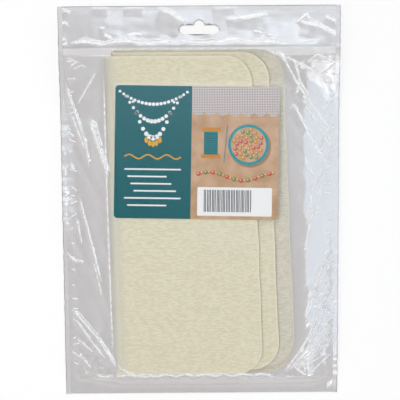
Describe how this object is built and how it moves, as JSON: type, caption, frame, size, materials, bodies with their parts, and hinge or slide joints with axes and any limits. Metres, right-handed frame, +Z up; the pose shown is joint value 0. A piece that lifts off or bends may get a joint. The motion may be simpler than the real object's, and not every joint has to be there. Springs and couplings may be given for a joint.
{
  "type": "bead mat pack",
  "caption": "Soft laminated foam bead mats, nested and folded in half, with an insert card, in a clear film bag with a punched hang header.",
  "frame": {"origin": "middle of the bag's outline on the surface that the pack lies on", "axes": "+Y up the bag from its bottom fold to its header, +Z up from the surface through the card, +X to the right seen from above"},
  "size_m": [0.1806, 0.248, 0.0115],
  "materials": {
    "clear_film": "clear glossy polypropylene film",
    "fused_film": "heat-fused film, slightly hazy",
    "printed_card": "coated board with a printed face",
    "flocked_pile": "short flocked nylon pile, matt cream",
    "mat_foam": "open-cell polyurethane foam",
    "knit_scrim": "fine knitted nylon net"
  },
  "bodies": {
    "bag": {"front_panel": "clear_film", "back_panel": "clear_film", "bottom_fold": "clear_film", "left_side_weld": "fused_film", "right_side_weld": "fused_film", "header_seal": "fused_film", "header_front_ply": "clear_film", "header_back_ply": "clear_film", "header_top_seal": "fused_film"},
    "card": {"insert_card": "printed_card"},
    "outer_mat": {"outer_mat_face_pile": "flocked_pile", "outer_mat_face_foam": "mat_foam", "outer_mat_scrim": "knit_scrim", "outer_mat_lining_foam": "mat_foam", "outer_mat_lining_pile": "flocked_pile"},
    "inner_mat": {"inner_mat_face_pile": "flocked_pile", "inner_mat_face_foam": "mat_foam", "inner_mat_scrim": "knit_scrim", "inner_mat_lining_foam": "mat_foam", "inner_mat_lining_pile": "flocked_pile"}
  },
  "joints": [
    {"name": "card_slide", "type": "slide", "parent": "bag", "child": "card", "axis": [0, 1, 0], "range_m": [0, 0.14]},
    {"name": "outer_mat_slide", "type": "slide", "parent": "bag", "child": "outer_mat", "axis": [-0.0297, 0.9996, 0], "range_m": [0, 0.24]},
    {"name": "inner_mat_slide", "type": "slide", "parent": "bag", "child": "inner_mat", "axis": [-0.0297, 0.9996, 0], "range_m": [0, 0.24]}
  ]
}
